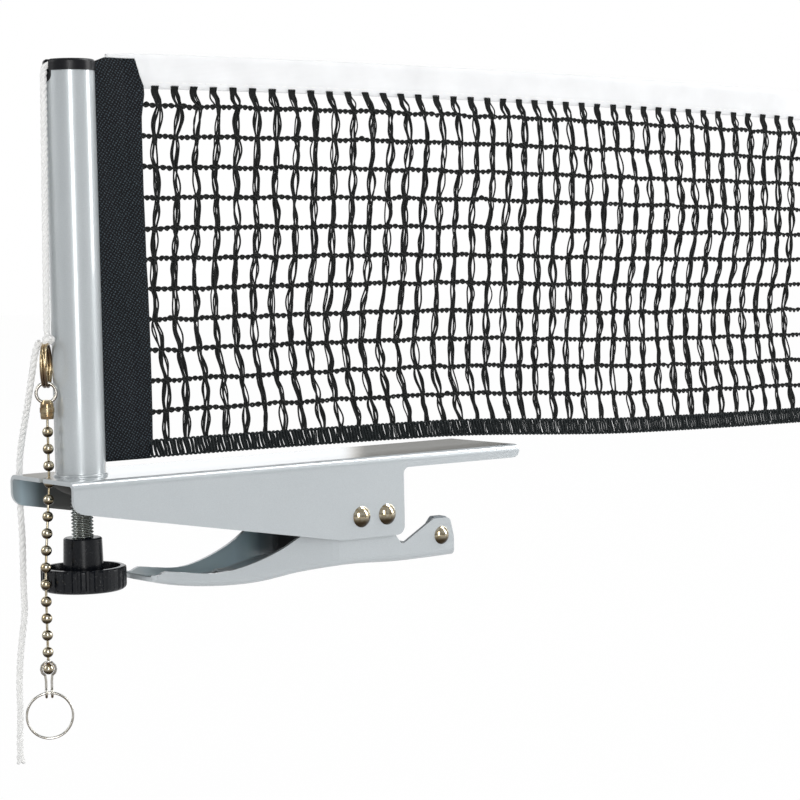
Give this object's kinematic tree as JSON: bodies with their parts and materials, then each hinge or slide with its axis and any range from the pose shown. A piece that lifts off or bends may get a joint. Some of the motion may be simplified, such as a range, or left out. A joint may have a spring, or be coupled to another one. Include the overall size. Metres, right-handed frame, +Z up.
{
  "type": "table tennis net clamp",
  "caption": "Clip-on table tennis net post: sprung steel table clamp, post with height screw, tension chain and cord, and the clamp end of the net.",
  "frame": {"origin": "on the table's edge, in the plane of the net, at the height of the playing surface", "axes": "+X along the net, over the table; +Y along the table's edge; +Z up"},
  "size_m": [0.41, 0.0514, 0.2561],
  "materials": {
    "painted_steel": "satin silver-grey powder coat",
    "black_plastic": "satin moulded black",
    "zinc_steel": "zinc plated",
    "nickel": "polished nickel plate",
    "brass_ring": "polished, worn plating",
    "spring_steel": "drawn spring wire",
    "black_cloth": "woven twill",
    "black_thread": "twisted thread",
    "white_tape": "woven cotton tape",
    "white_cord": "three-strand twisted cord",
    "rubber": "matt"
  },
  "bodies": {
    "root": {"bracket": "painted_steel", "post_tube": "painted_steel", "post_cap": "black_plastic", "domed_nut": "painted_steel", "pivot_rivet": "nickel", "stop_rivet": "nickel", "spring_bush": "zinc_steel", "upper_jaw_pad": "rubber", "torsion_spring": "spring_steel", "tension_cord": "white_cord", "cord_knot": "white_cord", "cord_tail": "white_cord", "split_ring": "brass_ring", "link_ring": "nickel", "chain_clasp": "brass_ring", "ball_chain": "nickel", "wire_eye": "nickel"},
    "lever": {"lever": "painted_steel", "tip_rivet_near": "nickel", "tip_rivet_far": "nickel", "lower_jaw_pad": "rubber"},
    "lift": {"carrier_foot": "black_plastic", "net_rod": "zinc_steel", "end_sleeve": "black_cloth", "net_mesh": "black_thread", "top_band": "white_tape", "bottom_edge": "black_thread", "far_sleeve": "black_cloth"},
    "knob": {"height_screw": "zinc_steel", "knob": "black_plastic"},
    "ring": {"pull_ring": "nickel"}
  },
  "joints": [
    {"name": "lever_swing", "type": "hinge", "parent": "root", "child": "lever", "pos_m": [-0.0082, 0, -0.017], "axis": [0, 1, 0], "range_deg": [0, 20], "stiffness_Nm_per_rad": 6, "springref_deg": -8.59, "deforming": ["torsion_spring"]},
    {"name": "net_lift", "type": "slide", "parent": "root", "child": "lift", "axis": [0, 0, 1], "range_m": [-0.002, 0.004]},
    {"name": "knob_turn", "type": "hinge", "parent": "lift", "child": "knob", "pos_m": [-0.127, 0, -0.03], "axis": [0, 0, 1], "range_deg": [-580, 1160]},
    {"name": "pull_ring_swing", "type": "hinge", "parent": "root", "child": "ring", "pos_m": [-0.1442, -0.0035, -0.07048], "axis": [0.8988, -0.4384, 0], "range_deg": [-60, 60]}
  ],
  "couplings": [
    {"joint": "knob_turn", "follows": "net_lift", "rad_per_m": 5026.5}
  ]
}
